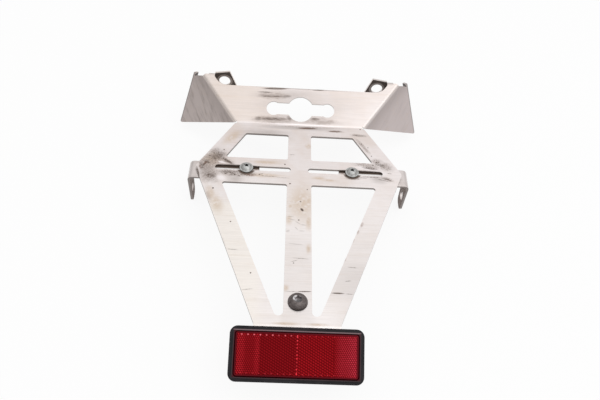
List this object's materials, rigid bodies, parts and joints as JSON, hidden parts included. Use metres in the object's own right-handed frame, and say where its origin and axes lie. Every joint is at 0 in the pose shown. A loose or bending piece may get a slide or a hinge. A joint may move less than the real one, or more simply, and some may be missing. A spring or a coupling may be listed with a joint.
{
  "type": "tail tidy",
  "caption": "Folded stainless number-plate bracket for a motorbike, with slotted indicator brackets, a keyhole for the lamp, bolt ears and a red reflector.",
  "frame": {"origin": "on the plate's front face, on the centre line, level with the two indicator slots", "axes": "+X to the right seen from the front, +Y up the plate towards the flange, +Z out of the plate's front face"},
  "size_m": [0.2424, 0.3031, 0.0639],
  "materials": {
    "stainless_sheet": "brushed, worn, stained and scratched",
    "zinc_fastener": "zinc plated, dull",
    "dark_screw": "blackened, worn",
    "black_plastic": "satin black, dusty",
    "red_lens": "gloss, prismatic"
  },
  "bodies": {
    "root": {"main_bracket": "stainless_sheet", "indicator_bracket_left": "stainless_sheet", "indicator_bracket_right": "stainless_sheet", "slot_screw_left": "zinc_fastener", "slot_screw_right": "zinc_fastener", "slot_washer_left": "zinc_fastener", "slot_washer_right": "zinc_fastener", "slot_nut_left": "zinc_fastener", "slot_nut_right": "zinc_fastener", "plate_washer": "zinc_fastener", "plate_nut": "zinc_fastener", "reflector_stud": "zinc_fastener", "reflector_washer": "zinc_fastener", "reflector_nut": "zinc_fastener", "plate_screw": "dark_screw", "reflector_housing": "black_plastic", "reflector_lens": "red_lens"}
  },
  "joints": []
}
